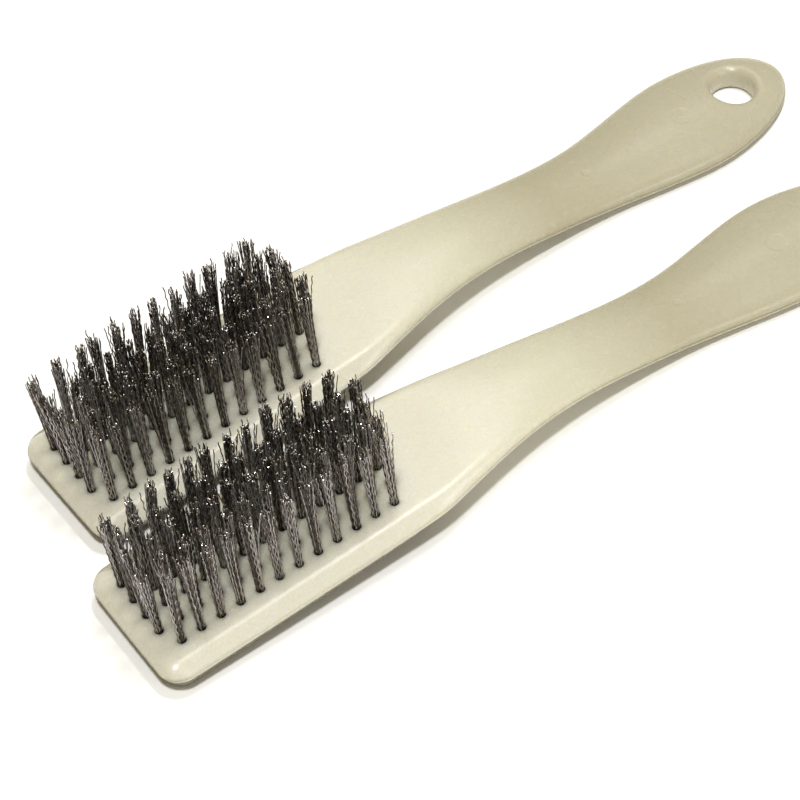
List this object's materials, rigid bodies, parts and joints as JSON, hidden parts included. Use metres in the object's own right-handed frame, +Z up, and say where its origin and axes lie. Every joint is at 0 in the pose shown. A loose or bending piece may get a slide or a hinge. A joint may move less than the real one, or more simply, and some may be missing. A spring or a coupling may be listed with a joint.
{
  "type": "wire scratch brush pair",
  "caption": "Wire scratch brushes lying side by side, bristles up: flat moulded heads with rows of crimped steel wire tufts, arched necks and paddle handles with a hanging hole.",
  "frame": {"origin": "on the floor below the middle of the pair's box", "axes": "+X along the front brush from its bristles to its handle, +Y from the front brush to the rear brush, +Z up"},
  "size_m": [0.2588, 0.0936, 0.0443],
  "materials": {
    "ivory_plastic": "satin injection moulding, slightly translucent ivory",
    "steel_wire": "dark oiled crimped wire with bright cut ends",
    "anchor_steel": "plain flat wire"
  },
  "bodies": {
    "root": {"front_handle": "ivory_plastic", "front_tuft_row_1": "steel_wire", "front_anchor_row_1": "anchor_steel", "front_tuft_row_2": "steel_wire", "front_anchor_row_2": "anchor_steel", "front_tuft_row_3": "steel_wire", "front_anchor_row_3": "anchor_steel", "front_tuft_row_4": "steel_wire", "front_anchor_row_4": "anchor_steel", "front_tuft_row_5": "steel_wire", "front_anchor_row_5": "anchor_steel", "rear_handle": "ivory_plastic", "rear_tuft_row_1": "steel_wire", "rear_anchor_row_1": "anchor_steel", "rear_tuft_row_2": "steel_wire", "rear_anchor_row_2": "anchor_steel", "rear_tuft_row_3": "steel_wire", "rear_anchor_row_3": "anchor_steel", "rear_tuft_row_4": "steel_wire", "rear_anchor_row_4": "anchor_steel", "rear_tuft_row_5": "steel_wire", "rear_anchor_row_5": "anchor_steel"}
  },
  "joints": []
}
